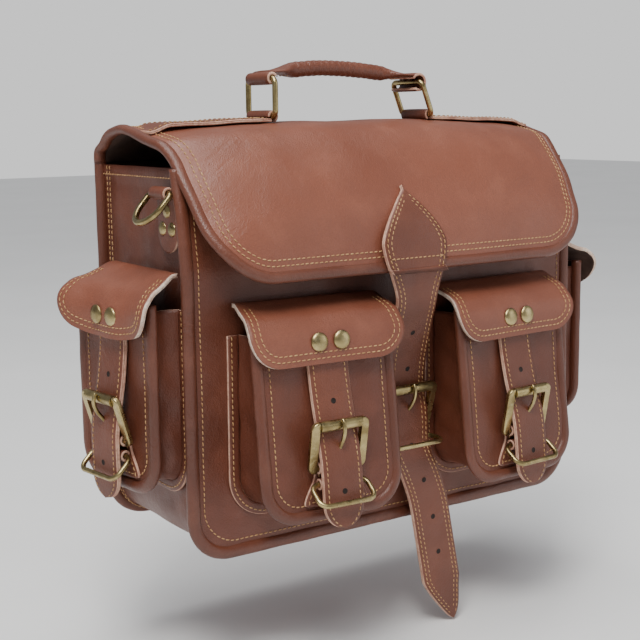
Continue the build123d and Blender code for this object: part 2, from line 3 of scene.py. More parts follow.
import bpy
from mathutils import Matrix, Vector, noise
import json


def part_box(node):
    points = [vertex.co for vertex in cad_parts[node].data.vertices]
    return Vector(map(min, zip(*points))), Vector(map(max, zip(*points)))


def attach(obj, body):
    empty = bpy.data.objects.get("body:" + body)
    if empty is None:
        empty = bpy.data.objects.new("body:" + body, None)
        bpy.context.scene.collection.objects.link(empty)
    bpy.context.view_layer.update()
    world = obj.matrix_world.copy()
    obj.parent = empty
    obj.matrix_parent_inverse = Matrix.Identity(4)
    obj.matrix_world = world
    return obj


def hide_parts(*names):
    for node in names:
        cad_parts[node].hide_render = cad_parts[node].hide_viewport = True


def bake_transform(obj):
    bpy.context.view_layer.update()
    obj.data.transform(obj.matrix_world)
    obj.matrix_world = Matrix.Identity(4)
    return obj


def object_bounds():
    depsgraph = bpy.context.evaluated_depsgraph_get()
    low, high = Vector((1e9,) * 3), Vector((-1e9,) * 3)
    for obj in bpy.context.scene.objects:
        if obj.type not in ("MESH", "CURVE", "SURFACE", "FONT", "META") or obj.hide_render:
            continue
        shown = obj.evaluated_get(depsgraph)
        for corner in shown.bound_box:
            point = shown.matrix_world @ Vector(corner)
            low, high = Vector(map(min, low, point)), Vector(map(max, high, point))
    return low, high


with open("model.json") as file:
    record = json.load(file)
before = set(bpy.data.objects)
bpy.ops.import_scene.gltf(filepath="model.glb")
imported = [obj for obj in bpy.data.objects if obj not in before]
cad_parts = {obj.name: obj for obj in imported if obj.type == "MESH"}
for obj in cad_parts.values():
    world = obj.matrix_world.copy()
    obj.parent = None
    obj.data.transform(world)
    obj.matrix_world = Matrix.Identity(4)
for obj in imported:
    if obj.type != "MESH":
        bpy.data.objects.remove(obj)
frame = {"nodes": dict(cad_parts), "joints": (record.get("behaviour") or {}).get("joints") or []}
cad_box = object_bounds()
joints = {joint["name"]: joint for joint in frame["joints"]}
MM = 0.001

# sizes of the leather work, in millimetres
LEATHER = 2.5
BINDING_R = 4.7
GUSSET_INSET = 6.0
CORNER_R = 32.0
STRAP_T = 4.0
STRAP_W = 31.0
CENTRE_W = 35.0
HEEL_OUT = 5.2
BUCKLE_LEN = 30.0
BUCKLE_TILT = math.radians(17)
HEEL_BAR_R = 2.0
ROLLER_R = 3.8
KEEPER_DROP = 11.0
KEEPER_BAR_R = 1.8
RING_WIRE_R = 2.1
RING_LOOP_R = 2.5        # a leather loop's inside on a ring's bar
LOOP_FIT = 0.35          # a leather loop's clearance on a buckle's bar
LOOP_WALL = 2.0
LOOP_W = 31.0
PRONG_GAP = 7.0          # the heel loop is cut out for the prong
POCKET_H = 133.0
POCKET_R = 27.0
FLAP_T = 3.5
STITCH = 3.9
THREAD_LIFT = 0.1        # a stitch line above the leather


# ---- local frames
class Surface:
    """A flat local frame in millimetres: x across, y up, z out of the surface."""

    def __init__(self, origin, x_dir, z_dir):
        self.origin = Vector(origin)
        self.x = Vector(x_dir).normalized()
        self.z = Vector(z_dir).normalized()
        self.y = self.z.cross(self.x)

    def at(self, x, y, z=0.0):
        return self.origin + (self.x * x + self.y * y + self.z * z) * MM

    def turn(self, v):
        return self.x * v[0] + self.y * v[1] + self.z * v[2]


def buckle_surface(name, heel_up):
    """The flat surface that a buckle is sewn to, from its heel and roller bars."""
    heel = Vector(joints[f"{name}_buckle_hinge"]["pos_m"])
    roller = Vector(joints[f"{name}_roller_spin"]["pos_m"])
    across = Vector(joints[f"{name}_buckle_hinge"]["axis"])
    up = Matrix.Rotation(-BUCKLE_TILT, 3, across) @ (roller - heel).normalized()
    out = across.cross(up)
    return Surface(heel - (up * heel_up + out * HEEL_OUT) * MM, across, out)


binding_low, binding_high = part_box("panel_bindings")
WIDTH = (binding_high.x - binding_low.x) / MM
HEIGHT = (binding_high.z - binding_low.z) / MM
DEPTH = -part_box("front_panel")[0].y / MM
bag = Surface((0, 0, binding_low.z), (1, 0, 0), (0, -1, 0))


# ---- curves
def lerp(a, b, t):
    return a + (b - a) * t


def smooth(t):
    t = min(max(t, 0.0), 1.0)
    return t * t * (3 - 2 * t)


def wobble(x, y, z=0.0, scale=0.02):
    return noise.noise(Vector((x, y, z)) * scale)


def through(points, step=2.5):
    """A smooth open line through the points, at an even step."""
    points = [Vector(p) for p in points]
    ends = [points[0] * 2 - points[1]] + points + [points[-1] * 2 - points[-2]]
    fine = []
    for a, b, c, d in zip(ends, ends[1:], ends[2:], ends[3:]):
        for k in range(16):
            t = k / 16
            fine.append(0.5 * ((2 * b) + (c - a) * t + (2 * a - 5 * b + 4 * c - d) * t * t
                               + (3 * b - a - 3 * c + d) * t ** 3))
    fine.append(points[-1])
    return evenly(fine, step)


def evenly(points, step):
    """The same line with points at an even step."""
    lengths = [0.0]
    for a, b in zip(points, points[1:]):
        lengths.append(lengths[-1] + (b - a).length)
    count = max(2, round(lengths[-1] / step))
    made, k = [], 0
    for n in range(count + 1):
        want = lengths[-1] * n / count
        while k < len(points) - 2 and lengths[k + 1] < want:
            k += 1
        gap = lengths[k + 1] - lengths[k]
        made.append(points[k].lerp(points[k + 1], 0 if gap == 0 else (want - lengths[k]) / gap))
    return made


def u_path(width, bottom, top, radius, step=3.0):
    """Down the left side, round the bottom and up the right side, as (x, up)."""
    half = width / 2
    path = [Vector((-half, top))]
    for cx, start in ((-half + radius, 180), (half - radius, 270)):
        for k in range(13):
            a = math.radians(start + 90 * k / 12)
            path.append(Vector((cx + radius * math.cos(a), bottom + radius + radius * math.sin(a))))
    path.append(Vector((half, top)))
    return evenly(path, step)


def tangent(path, k, ahead=1):
    """Unit direction of a line at point k."""
    return (path[min(k + ahead, len(path) - 1)] - path[max(k - 1, 0)]).normalized()


def outward(path, k):
    """Unit (x, y) normal on the right of travel, which is the outer side of a u_path."""
    t = tangent(path, k)
    return Vector((t.y, -t.x))


def nearest(line, up):
    """Index of the point of a line whose x is closest to up."""
    return min(range(len(line)), key=lambda k: abs(line[k].x - up))


def free_edge(rows, count, step):
    """Round a flap's free edge from its rows of (along, half width): down its left side and up its right."""
    left = [Vector((v, -h)) for v, h in rows]
    low_v, low_h = rows[-1]
    low = [Vector((low_v, -low_h + 2 * low_h * k / count)) for k in range(1, count)]
    return evenly(left + low + [Vector((v.x, -v.y)) for v in reversed(left)], step)


# ---- meshes
def add(data):
    """A new object in the scene, named after its data."""
    made = bpy.data.objects.new(data.name, data)
    bpy.context.scene.collection.objects.link(made)
    return made


def mesh_object(name, verts, faces, materials, marks=None):
    mesh = bpy.data.meshes.new(name)
    mesh.from_pydata([tuple(v) for v in verts], [], faces)
    for material in materials:
        mesh.materials.append(material)
    if marks:
        mesh.polygons.foreach_set("material_index", marks)
    mesh.polygons.foreach_set("use_smooth", [True] * len(mesh.polygons))
    mesh.validate()
    mesh.update()
    return add(mesh)


def ring_faces(rings, n, base=0):
    """Quads between consecutive rings of n points, the first of them at vertex base."""
    faces = []
    for a in range(base, base + (rings - 1) * n, n):
        faces += [(a + k, a + (k + 1) % n, a + n + (k + 1) % n, a + n + k) for k in range(n)]
    return faces


def loft(name, rows, materials, marks=None):
    """Mesh over rows of sections, closed at both ends.

    Each section is a closed loop of points, and marks gives the material of each of its sides.
    """
    n = len(rows[0])
    faces = ring_faces(len(rows), n)
    last = (len(rows) - 1) * n
    faces += [tuple(range(n))[::-1], tuple(range(last, last + n))]
    which = list(marks or [0] * n) * (len(rows) - 1) + [1 if marks else 0] * 2
    return mesh_object(name, [v for row in rows for v in row], faces, materials, which)


def slab_section(half, thick, across, crown, layers):
    """Closed section of a cut leather band, as (side, depth) points with their material marks."""
    points, marks = [], []
    for k in range(across + 1):
        t = -1 + 2 * k / across
        points.append((t * (half - 0.4), -crown * t ** 4))
        marks.append(0)
    marks[-1] = 1
    edge = [(half, -crown - 0.5)]
    if layers == 2:
        edge += [(half, -thick / 2 + 0.3), (half - 0.45, -thick / 2), (half, -thick / 2 - 0.3)]
    edge += [(half, -thick + 0.4)]
    points += edge
    marks += [1] * len(edge)
    for k in range(5):
        t = 1 - 2 * k / 4
        points.append((t * (half - 0.4), -thick))
        marks.append(2)
    marks[-1] = 1
    points += [(-x, y) for x, y in reversed(edge)]
    marks += [1] * len(edge)
    return points, marks


def strip(name, centres, sides, outs, halves, thick, materials, crown=0.5, layers=2, across=10):
    """A cut leather band: at each centre a section across sides, standing out along outs."""
    rows, marks = [], None
    for c, s, o, h in zip(centres, sides, outs, halves):
        section, marks = slab_section(h, thick, across, crown, layers)
        rows.append([c + (s * x + o * (y + thick)) * MM for x, y in section])
    return loft(name, rows, materials, marks)


def tube(name, centres, sides, outs, wide, high, materials, segments=14):
    """A rolled piece of oval section, with its half width and half height at each centre."""
    turns = [2 * math.pi * n / segments for n in range(segments)]
    rows = [[c + (s * (w * math.cos(a)) + o * (h * math.sin(a))) * MM for a in turns]
            for c, s, o, w, h in zip(centres, sides, outs, wide, high)]
    return loft(name, rows, materials)


def sheet(name, front, thick, materials):
    """A closed sheet over a grid of (point, normal), thick behind it, with its rim in the second material."""
    rows, cols = len(front), len(front[0])
    verts = [p for row in front for p, _ in row] + [p - n * thick * MM for row in front for p, n in row]
    back = rows * cols
    faces, marks = [], []
    for i in range(rows - 1):
        for j in range(cols - 1):
            a, b, c, d = i * cols + j, i * cols + j + 1, (i + 1) * cols + j + 1, (i + 1) * cols + j
            faces.append((a, b, c, d))
            faces.append((back + d, back + c, back + b, back + a))
            marks += [0, 2]
    rim = ([(0, j) for j in range(cols)] + [(i, cols - 1) for i in range(1, rows)]
           + [(rows - 1, j) for j in range(cols - 2, -1, -1)] + [(i, 0) for i in range(rows - 2, 0, -1)])
    loop = [i * cols + j for i, j in rim]
    for k, a in enumerate(loop):
        b = loop[(k + 1) % len(loop)]
        faces.append((b, a, back + a, back + b))
        marks.append(1)
    return mesh_object(name, verts, faces, materials, marks)


def grid_normals(points):
    """Pairs each point of a grid with its normal."""
    rows, cols = len(points), len(points[0])
    made = []
    for i in range(rows):
        row = []
        for j in range(cols):
            du = points[min(i + 1, rows - 1)][j] - points[max(i - 1, 0)][j]
            dv = points[i][min(j + 1, cols - 1)] - points[i][max(j - 1, 0)]
            n = dv.cross(du)
            row.append((points[i][j], n.normalized() if n.length > 1e-12 else Vector((0, 0, 1))))
        made.append(row)
    return made


def flip(grid):
    return [[(p, -n) for p, n in row] for row in grid]


def true_normals(grid):
    """The grid's own normals, turned to the side that its rough (point, normal) pairs face."""
    made = grid_normals([[p for p, _ in row] for row in grid])
    i, j = len(grid) // 2, len(grid[0]) // 2
    return flip(made) if made[i][j][1].dot(grid[i][j][1]) < 0 else made


class Thread:
    """Rows of stitches gathered into one piece."""

    def __init__(self, name):
        self.name, self.verts, self.faces = name, [], []

    def row(self, points, normals, pitch=STITCH, length=2.9, radius=0.46):
        """Stitches along a line, standing out along one normal or along each point's own."""
        if isinstance(normals, Vector):
            normals = [normals] * len(points)
        total = [0.0]
        for a, b in zip(points, points[1:]):
            total.append(total[-1] + (b - a).length / MM)
        count, k = int(total[-1] // pitch), 0
        for n in range(count):
            want = (n + 0.5) * total[-1] / max(count, 1)
            while k < len(points) - 2 and total[k + 1] < want:
                k += 1
            gap = total[k + 1] - total[k]
            t = 0 if gap == 0 else (want - total[k]) / gap
            along = (points[k + 1] - points[k]).normalized()
            out = normals[k].lerp(normals[min(k + 1, len(normals) - 1)], t).normalized()
            self.stitch(points[k].lerp(points[k + 1], t), along, out, length, radius)

    def stitch(self, centre, along, out, length, radius):
        side = out.cross(along).normalized()
        along = (along + side * 0.1).normalized()
        base, sides = len(self.verts), 6
        rings = [(-0.5, 0.25, -0.5), (-0.34, 0.9, 0.1), (0.0, 1.0, 0.35), (0.34, 0.9, 0.1), (0.5, 0.25, -0.5)]
        for spot, size, lift in rings:
            for k in range(sides):
                a = 2 * math.pi * k / sides
                self.verts.append(centre + (along * (spot * length) + side * (radius * size * math.cos(a))
                                            + out * (radius * (size * 0.8 * math.sin(a) + lift))) * MM)
        self.faces += ring_faces(len(rings), sides, base)

    def on(self, pairs, lift=THREAD_LIFT):
        """A row just above each (point, normal) of a surface."""
        self.row([p + n * lift * MM for p, n in pairs], [n for _, n in pairs])

    def build(self):
        return mesh_object(self.name, self.verts, self.faces, [thread])


# ---- materials
class Nodes:
    """Short calls for building one material's nodes."""

    def __init__(self, name):
        self.material = bpy.data.materials.new(name)
        self.material.use_nodes = True
        self.tree = self.material.node_tree
        self.shader = self.tree.nodes["Principled BSDF"]
        self.coords = self.tree.nodes.new("ShaderNodeTexCoord").outputs["Object"]

    def node(self, kind, **values):
        made = self.tree.nodes.new(kind)
        for key, value in values.items():
            setattr(made, key, value)
        return made

    def link(self, a, b):
        self.tree.links.new(a, b)

    def noise(self, scale, detail=4.0, roughness=0.55, stretch=(1, 1, 1), turn=(0, 0, 0), distortion=0.0):
        mapping = self.node("ShaderNodeMapping")
        mapping.inputs["Scale"].default_value = stretch
        mapping.inputs["Rotation"].default_value = turn
        made = self.node("ShaderNodeTexNoise")
        made.inputs["Scale"].default_value = scale
        made.inputs["Detail"].default_value = detail
        made.inputs["Roughness"].default_value = roughness
        made.inputs["Distortion"].default_value = distortion
        self.link(self.coords, mapping.inputs["Vector"])
        self.link(mapping.outputs["Vector"], made.inputs["Vector"])
        return made.outputs["Fac"]

    def cells(self, scale):
        made = self.node("ShaderNodeTexVoronoi")
        made.inputs["Scale"].default_value = scale
        self.link(self.coords, made.inputs["Vector"])
        return made.outputs["Distance"]

    def ramp(self, source, low, high, low_value=0.0, high_value=1.0):
        made = self.node("ShaderNodeMapRange")
        made.inputs["From Min"].default_value = low
        made.inputs["From Max"].default_value = high
        made.inputs["To Min"].default_value = low_value
        made.inputs["To Max"].default_value = high_value
        self.link(source, made.inputs["Value"])
        return made.outputs["Result"]

    def mix(self, factor, a, b, blend="MIX"):
        made = self.node("ShaderNodeMix", data_type="RGBA", blend_type=blend)
        self.link(factor, made.inputs[0])
        for value, socket in ((a, made.inputs[6]), (b, made.inputs[7])):
            if isinstance(value, tuple):
                socket.default_value = (*value, 1)
            else:
                self.link(value, socket)
        return made.outputs[2]

    def bump(self, height, distance, strength=1.0, under=None):
        made = self.node("ShaderNodeBump")
        made.inputs["Strength"].default_value = strength
        made.inputs["Distance"].default_value = distance
        self.link(height, made.inputs["Height"])
        if under is not None:
            self.link(under, made.inputs["Normal"])
        return made.outputs["Normal"]

    def finish(self, colour, roughness, normal, **values):
        self.link(colour, self.shader.inputs["Base Color"])
        self.link(roughness, self.shader.inputs["Roughness"])
        self.link(normal, self.shader.inputs["Normal"])
        for key, value in values.items():
            self.shader.inputs[key.replace("_", " ")].default_value = value
        return self.material


def leather_material(name, mid, dark, light, rough=(0.36, 0.56)):
    """Waxed smooth leather: fine grain, soft creases, darker pulled-up patches and pale scuffs."""
    n = Nodes(name)
    colour = n.mix(n.ramp(n.noise(9, 3), 0.22, 0.60), dark, mid)
    colour = n.mix(n.ramp(n.noise(38, 4), 0.5, 0.8, 0, 0.35), colour, light)
    scuffs = n.noise(60, 6, 0.7, (1.0, 1.0, 9.0), (0.3, 0.9, 0.2))
    colour = n.mix(n.ramp(scuffs, 0.66, 0.8, 0, 0.3), colour, light)
    specks = n.noise(900, 2)
    colour = n.mix(n.ramp(specks, 0.3, 0.7, 0, 0.4), colour, dark)
    roughness = n.ramp(n.noise(40, 4), 0.3, 0.7, rough[0], rough[1])
    normal = n.bump(n.noise(22, 4, 0.6, (1, 1, 1), (0, 0, 0), 0.8), 0.0030, 0.5)
    creases = n.ramp(n.noise(55, 5, 0.7, (1.0, 1.0, 0.45), (0.2, 0.5, 0.1), 1.2), 0.42, 0.52)
    normal = n.bump(creases, 0.0003, 0.22, normal)
    normal = n.bump(n.noise(420, 4, 0.65), 0.00022, 0.5, normal)
    normal = n.bump(n.cells(1000), 0.00022, 0.75, normal)
    return n.finish(colour, roughness, normal, Specular_IOR_Level=0.5, Coat_Weight=0.05, Coat_Roughness=0.3)


def cut_edge_material(name, pale, pink, dirt):
    """The fibrous cut edge of leather."""
    n = Nodes(name)
    colour = n.mix(n.ramp(n.noise(120, 4), 0.35, 0.65), pale, pink)
    colour = n.mix(n.ramp(n.noise(420, 4), 0.52, 0.75, 0, 0.7), colour, dirt)
    normal = n.bump(n.noise(2200, 3), 0.0002, 0.8)
    return n.finish(colour, n.ramp(n.noise(300), 0.3, 0.7, 0.75, 0.95), normal)


def thread_material():
    n = Nodes("waxed_thread")
    colour = n.mix(n.ramp(n.noise(260, 3), 0.35, 0.65), (0.40, 0.21, 0.085), (0.56, 0.34, 0.15))
    twist = n.noise(2600, 1, 0.5, (1, 1, 0.4), (0.6, 0.6, 0))
    return n.finish(colour, n.ramp(n.noise(400), 0.3, 0.7, 0.5, 0.7), n.bump(twist, 0.00025, 0.8))


def brass_material():
    """Antique brass: bright where rubbed, brown patina in blotches, fine scratches."""
    n = Nodes("antique_brass")
    colour = n.mix(n.ramp(n.noise(60, 4), 0.3, 0.62), (0.20, 0.145, 0.06), (0.50, 0.40, 0.19))
    colour = n.mix(n.ramp(n.noise(260, 4), 0.55, 0.85, 0, 0.5), colour, (0.70, 0.60, 0.35))
    scratches = n.noise(500, 3, 0.6, (1, 1, 12), (0.7, 0.3, 0.4))
    normal = n.bump(scratches, 0.00008, 0.4)
    normal = n.bump(n.noise(90, 3), 0.0001, 0.3, normal)
    return n.finish(colour, n.ramp(n.noise(200, 4), 0.3, 0.7, 0.22, 0.4), normal, Metallic=1.0)


def dark_material(name, a, b, scale=400, rough=(0.8, 0.95)):
    n = Nodes(name)
    colour = n.mix(n.ramp(n.noise(scale * 0.2, 4), 0.35, 0.65), a, b)
    roughness = n.ramp(n.noise(scale), 0.3, 0.7, *rough)
    return n.finish(colour, roughness, n.bump(n.noise(scale * 3, 3), 0.0003, 0.7))


body_leather = leather_material("bag_leather", (0.150, 0.041, 0.020), (0.088, 0.023, 0.011),
                                (0.25, 0.082, 0.045))
# painted light: the flaps' leather is a copy of the body's leather painted lighter for the top light falling
# on the flap
flap_leather_painted_light = leather_material("flap_leather_painted_light", (0.240, 0.076, 0.042), (0.158, 0.046, 0.024),
                                (0.37, 0.136, 0.081), (0.38, 0.56))
strap_leather = leather_material("strap_leather", (0.168, 0.048, 0.024), (0.098, 0.027, 0.013),
                                 (0.27, 0.094, 0.053))
rolled_leather = leather_material("rolled_edge_leather", (0.150, 0.045, 0.024), (0.085, 0.024, 0.012),
                                  (0.27, 0.098, 0.058), (0.34, 0.5))
cut_edge = cut_edge_material("cut_edge", (0.66, 0.42, 0.30), (0.48, 0.24, 0.17), (0.25, 0.11, 0.07))
pale_edge = cut_edge_material("pale_cut_edge", (0.82, 0.68, 0.55), (0.62, 0.42, 0.32), (0.34, 0.19, 0.13))
suede = dark_material("suede_inside", (0.045, 0.022, 0.015), (0.075, 0.038, 0.026))
# painted shade: a near-black colour for the shade inside punched holes and eyelet bores, which are not cut
# through
painted_hole_shade = dark_material("punched_hole_painted_shade", (0.010, 0.006, 0.004), (0.020, 0.011, 0.008))
board = dark_material("stiffener_board", (0.02, 0.018, 0.017), (0.04, 0.036, 0.033), 200, (0.6, 0.8))
thread = thread_material()
brass = brass_material()
BODY = [body_leather, cut_edge, suede]
# flaps take the copy of the leather that is painted lighter for the top light
FLAP = [flap_leather_painted_light, pale_edge, suede]
STRAP = [strap_leather, cut_edge, strap_leather]


def place(piece, body, slot, *nodes):
    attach(piece, body)
    if nodes:
        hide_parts(*nodes)
    return piece


def star_plate(name, outline, height, thick, lay, materials, rings=26):
    """A plate inside a closed outline, by rings from its middle. height(x, y) stands out of the surface."""
    count = len(outline)
    mid = sum(outline, Vector((0, 0))) / count
    verts, faces, marks = [lay(mid.x, mid.y, height(mid.x, mid.y))], [], []
    sizes = [1 - (1 - k / rings) ** 1.35 for k in range(1, rings + 1)]
    for r in sizes:
        for p in outline:
            x, y = mid.x + (p.x - mid.x) * r, mid.y + (p.y - mid.y) * r
            verts.append(lay(x, y, height(x, y)))
    back = len(verts)
    verts += [lay(p.x, p.y, height(p.x, p.y) - thick) for p in outline]
    verts.append(lay(mid.x, mid.y, height(mid.x, mid.y) - thick))
    edge = 1 + (rings - 1) * count
    for k in range(count):
        m = (k + 1) % count
        faces.append((0, 1 + k, 1 + m))
        faces += [(a + k, a + count + k, a + count + m, a + m) for a in range(1, edge, count)]
        marks += [0] * rings
        faces.append((edge + k, back + k, back + m, edge + m))
        faces.append((back + k, len(verts) - 1, back + m))
        marks += [1, 2]
    return mesh_object(name, verts, faces, materials, marks)


# ---- bag body
KINK, LEAN = 200.0, 7.5      # the front panel leans back above this height, by this much at its top
TUCK, TUCK_FROM = 4.0, 232.0  # and is tucked further in under the flap
EYELET_FLANGE_R = 8.5
EYELET_BORE = 2.1            # bore over the size of a punched hole
body_thread = Thread("body_stitching")


def panel_out(up):
    """Front panel's distance in front of the back face."""
    return DEPTH - LEAN * max(0.0, (up - KINK) / (HEIGHT - KINK)) - TUCK * smooth((up - TUCK_FROM) / 36)


def closed_pouch(width, bottom, top, radius):
    path = u_path(width, bottom, top, radius, 4.0)
    across = evenly([path[-1], path[0]], 5.0)[1:-1]
    return path + across


def panels():
    outline = closed_pouch(WIDTH - 2 * BINDING_R, BINDING_R, HEIGHT - 0.5, CORNER_R - BINDING_R)

    def front_height(x, y):
        return 0.9 * wobble(x, y, 0, 0.022) + 0.4 * wobble(x, y, 9, 0.06)

    def front_lay(x, y, z):
        return bag.at(x, y, panel_out(y) + z)

    def back_lay(x, y, z):
        return bag.at(x, y, -z)

    front = star_plate("front_panel_leather", outline, front_height, LEATHER, front_lay, BODY)
    place(front, "bag", "leather", "front_panel")
    # a plate seen from behind is wound the other way round
    tall = closed_pouch(WIDTH - 2 * BINDING_R, BINDING_R, HEIGHT + 5, CORNER_R - BINDING_R)
    back = star_plate("back_panel_leather", tall[::-1], lambda x, y: -0.2, LEATHER, back_lay, BODY)
    place(back, "bag", "leather", "back_panel")
    low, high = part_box("mount_eyelets")
    flange = EYELET_FLANGE_R * MM
    bores = [(Vector((x, 0.4 * MM, z)), Vector((0, 1, 0)), Vector((1, 0, 0)))
             for x in (low.x + flange, high.x - flange) for z in (low.z + flange, high.z - flange)]
    # the eyelets' bores are shallow discs painted dark for the shade inside them
    punched("mount_eyelet_bores", bores, "bag", EYELET_BORE)
    for name, lay, sign, nodes in (("front_binding", front_lay, 1, ["panel_bindings"]),
                                   ("back_binding", back_lay, -1, [])):
        top = HEIGHT - 1 if sign > 0 else HEIGHT + 3
        path = u_path(WIDTH - 2 * BINDING_R, BINDING_R, top, CORNER_R - BINDING_R, 2.5)
        spine = []
        for k, p in enumerate(path):
            swell = 1 + 0.07 * wobble(p.x, p.y, 30 * sign, 0.05)
            spine.append((lay(p.x, p.y, -0.9), bag.turn((*outward(path, k), 0)), bag.z * sign,
                          BINDING_R * swell, (BINDING_R - 0.9) * swell))
        place(tube(name, *zip(*spine), [rolled_leather]), "bag", "leather", *nodes)
    for lay, sign, insets in ((front_lay, 1, (12.5,)), (back_lay, -1, (12.5, 17.0))):
        for inset in insets:
            row = u_path(WIDTH - 2 * inset, inset, HEIGHT - 4, CORNER_R - inset + 6, 2.5)
            lift = [front_height(p.x, p.y) if sign > 0 else -0.2 for p in row]
            body_thread.row([lay(p.x, p.y, h + THREAD_LIFT) for p, h in zip(row, lift)], bag.z * sign)


def gusset():
    """The strip round the sides and bottom, with soft upright folds and a hemmed top edge."""
    inset = GUSSET_INSET
    path = u_path(WIDTH - 2 * inset, inset, HEIGHT - 1, CORNER_R - inset, 4.0)
    columns = 44
    rows = []
    for k, p in enumerate(path):
        n = outward(path, k)
        row = []
        for j in range(columns + 1):
            v = j / columns
            out = lerp(1.5, panel_out(p.y) - 1.5, v)
            upright = abs(n.x)
            fold = 1.6 * math.sin(v * 13 + 1.2 * wobble(p.y, v * 60, 3, 0.02)) * smooth((p.y - 40) / 120)
            dip = -2.2 - 2.4 * smooth((p.y - 190) / 70) * math.sin(math.pi * v) + min(fold, 0.6)
            dip += 1.6 * wobble(p.x, p.y, out, 0.03)
            edge = smooth(min(v, 1 - v) / 0.07)
            hem = 1.3 * (1 - smooth((HEIGHT - 9 - p.y) / 1.2)) * upright
            d = min(dip * edge, -0.2) * upright + hem
            row.append(bag.at(p.x + n.x * d, p.y + n.y * d, out))
        rows.append(row)
    made = sheet("gusset_leather", flip(grid_normals(rows)), LEATHER, [body_leather, rolled_leather, suede])
    place(made, "bag", "leather", "gusset")
    for back_row in (8.5, 13.0):
        on_side = [(p, outward(path, k)) for k, p in enumerate(path)]
        line = [bag.at(p.x - 0.1 * n.x, p.y - 0.1 * n.y, back_row) for p, n in on_side]
        body_thread.row(line, [bag.turn((n.x, n.y, 0)) for _, n in on_side])
    up = HEIGHT - 7.5
    for s, side in ((-1, path[0]), (1, path[-1])):
        line = [bag.at(side.x + s * 0.9, up, lerp(3, panel_out(up) - 3, t / 40)) for t in range(41)]
        body_thread.row(line, bag.x * s)


# ---- main flap
flap_low, flap_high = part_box("main_flap_binding")
FLAP_TOP = (flap_high.z - bag.origin.z) / MM
FLAP_FRONT = -flap_low.y / MM
FLAP_LOW = (flap_low.z - bag.origin.z) / MM + 2.0
FLAP_CORNER = 42.0
drop = FLAP_TOP - FLAP_LOW
# (out, up) of the flap's outer side, from the back edge over the hump to the lower edge
FLAP_STEP = 2.0
flap_profile = through([(0.5, HEIGHT + 0.5), (0.5, HEIGHT + 10), (6, FLAP_TOP - 11), (20, FLAP_TOP - 3),
                        (50, FLAP_TOP), (82, FLAP_TOP - 0.5), (106, FLAP_TOP - 4), (123, FLAP_TOP - 14),
                        (136, FLAP_TOP - 28), (147, FLAP_TOP - 45), (FLAP_FRONT - 8, FLAP_TOP - 0.63 * drop),
                        (FLAP_FRONT - 3, FLAP_TOP - 0.82 * drop), (FLAP_FRONT - 1, FLAP_LOW)], FLAP_STEP)
FLAP_LEN = FLAP_STEP * (len(flap_profile) - 1)
flap_thread = Thread("flap_stitching")


def between(points, at):
    """Value at a place, from a list of (place, value)."""
    for (a, x), (b, y) in zip(points, points[1:]):
        if at <= b:
            return lerp(x, y, smooth((at - a) / (b - a)))
    return points[-1][1]


def flap_half(s):
    """Half width of the flap at a distance along its profile, before its rounded corners."""
    return between([(0, 175.5), (95, 178), (150, 172.5), (FLAP_LEN, 164)], s)


def side_fall(s):
    """How far the flap's side edges hang below its middle."""
    return between([(0, 0), (26, 5.5), (62, 1.5), (115, 9.0), (160, 12.5), (185, 12), (FLAP_LEN, 1)], s)


def flap_at(s, x):
    """Point and normal of the flap's outer side, s along the profile and x across."""
    s = min(max(s, 0.0), FLAP_LEN)
    k = min(int(s / FLAP_LEN * (len(flap_profile) - 1)), len(flap_profile) - 2)
    t = s / FLAP_LEN * (len(flap_profile) - 1) - k
    p = flap_profile[k].lerp(flap_profile[k + 1], t)
    along = tangent(flap_profile, k, 2)
    normal = Vector((-along.y, along.x))
    side = min(abs(x) / flap_half(s), 1.0)
    fall = side_fall(s) * side ** 6 + 2.0 * smooth((s - 40) / 60) * side ** 2
    ripple = smooth((s - 4) / 20) * smooth((70 - s) / 40) * smooth((side - 0.35) / 0.5)
    crease = 0.8 * ripple * math.sin(x * 0.16 + 5 * wobble(x, s, 2, 0.02))
    sag = 1.6 * wobble(x, s, 5, 0.012) + 0.7 * wobble(x, s, 8, 0.035)
    wave = 2.2 * smooth((s - FLAP_LEN + 50) / 50) * math.sin(x * 0.028 + 0.7)
    d = crease + sag * smooth((s - 20) / 30) - fall + wave
    return bag.at(x, p.y + normal.y * d, p.x + normal.x * d), Vector((0, -normal.x, normal.y))


def flap_rows(inset=0.0):
    """(s, half width) of each row of the flap, close together round its corners."""
    end = FLAP_LEN - inset
    r = FLAP_CORNER - inset
    straight = end - r
    rows = [(s, flap_half(s) - inset) for s in [straight * k / 62 for k in range(63)]]
    for k in range(1, 17):
        a = math.radians(90 * k / 16)
        s = straight + r * math.sin(a)
        rows.append((s, flap_half(s) - inset - r * (1 - math.cos(a))))
    return rows


def flap_edge(inset):
    """Round the flap's free edge, as (s, x)."""
    return free_edge(flap_rows(inset), 60, 2.5)


def blend_flap(piece):
    """Bakes a piece of the flap's transform into its mesh."""
    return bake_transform(piece)


def main_flap():
    grid = [[flap_at(s, half * (-1 + 2 * j / 90)) for j in range(91)] for s, half in flap_rows(3.0)]
    made = sheet("main_flap_leather", true_normals(grid), 3.4, [flap_leather_painted_light, rolled_leather, suede])
    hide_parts("main_flap")
    blend_flap(made)
    edge = flap_edge(3.2)
    spine = []
    for k, p in enumerate(edge):
        point, normal = flap_at(p.x, p.y)
        before = flap_at(*edge[max(k - 1, 0)])[0]
        after = flap_at(*edge[min(k + 1, len(edge) - 1)])[0]
        side = (after - before).normalized().cross(normal).normalized()
        swell = 1 + 0.08 * wobble(p.x, p.y, 50, 0.05)
        spine.append((point - normal * 1.5 * MM, side, normal, 4.3 * swell, 3.5 * swell))
    rolled = tube("main_flap_rolled_edge", *zip(*spine), [rolled_leather])
    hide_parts("main_flap_binding")
    blend_flap(rolled)
    for inset in (10.5, 14.5):
        flap_thread.on([flap_at(p.x, p.y) for p in flap_edge(inset)])
    blend_flap(flap_thread.build())


